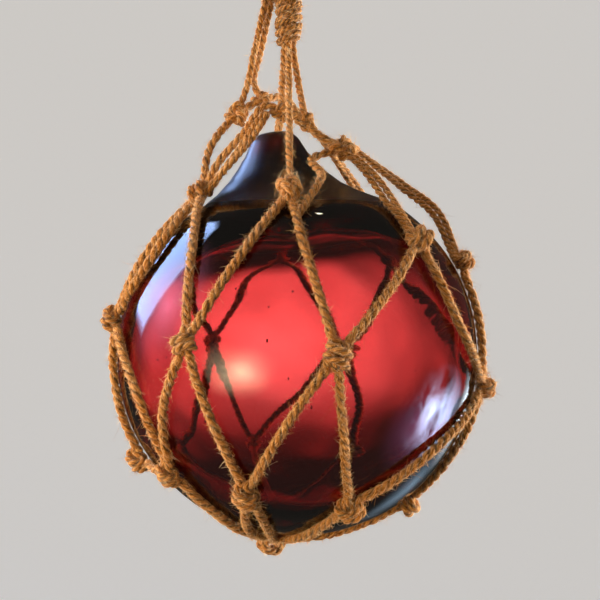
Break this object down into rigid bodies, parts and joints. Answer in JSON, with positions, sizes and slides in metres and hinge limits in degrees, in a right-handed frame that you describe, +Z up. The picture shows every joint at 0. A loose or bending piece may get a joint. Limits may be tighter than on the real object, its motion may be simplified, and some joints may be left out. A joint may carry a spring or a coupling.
{
  "type": "glass fishing float ball",
  "caption": "Sealed round glass fishing float with a short blown neck, held in a knotted cord net and hung from a bound cord loop.",
  "frame": {"origin": "inside top of the hanging loop, where a hook or nail carries the float", "axes": "+Z up, -Y to the front seen in the picture, +X to the viewer's right"},
  "size_m": [0.1351, 0.136, 0.2371],
  "materials": {
    "red_glass": "glossy",
    "jute_cord": "matt"
  },
  "bodies": {
    "root": {"glass_ball": "red_glass", "net": "jute_cord", "hanging_line_front": "jute_cord", "hanging_line_middle": "jute_cord", "hanging_line_right": "jute_cord", "hanging_line_left": "jute_cord", "hanging_line_back": "jute_cord", "binding": "jute_cord", "hanging_loop": "jute_cord"}
  },
  "joints": []
}
